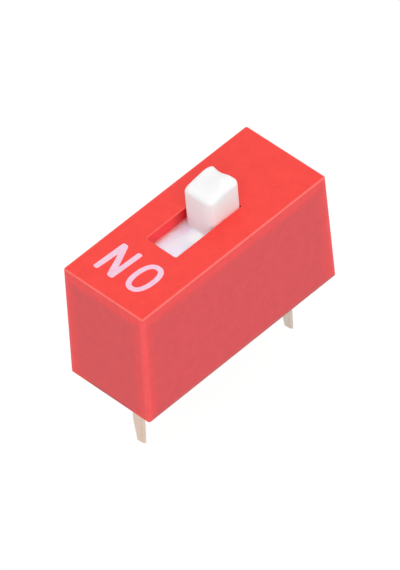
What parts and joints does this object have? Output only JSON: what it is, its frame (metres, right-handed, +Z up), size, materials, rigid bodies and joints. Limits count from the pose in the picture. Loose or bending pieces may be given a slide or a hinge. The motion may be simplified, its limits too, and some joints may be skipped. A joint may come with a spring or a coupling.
{
  "type": "slide DIP switch",
  "caption": "One-position slide DIP switch: red oblong cover, white slide actuator in a top slot, ON legend end, two flat solder blades tapered along one edge.",
  "frame": {"origin": "centre of the pair of solder blades in the board seating plane, which is the cover's bottom rim", "axes": "+Z up out of the board, +Y along the slot towards the ON end, +X across the switch"},
  "size_m": [0.004, 0.0099, 0.0101],
  "materials": {
    "red_plastic": "satin moulded thermoplastic, bright red",
    "base_plastic": "matt moulded thermoplastic, dark red",
    "tinned_brass": "dull tin plating over brass, warm grey",
    "resin": "cast potting resin, amber",
    "white_plastic": "satin moulded thermoplastic, white",
    "gold_contact": "gold flash over spring bronze"
  },
  "bodies": {
    "root": {"cover": "red_plastic", "base": "base_plastic", "terminal_off": "tinned_brass", "terminal_on": "tinned_brass", "resin_seal": "resin"},
    "slider": {"actuator": "white_plastic", "moving_contact": "gold_contact"}
  },
  "joints": [
    {"name": "actuator_slide", "type": "slide", "parent": "root", "child": "slider", "axis": [0, 1, 0], "range_m": [0, 0.00187]}
  ]
}
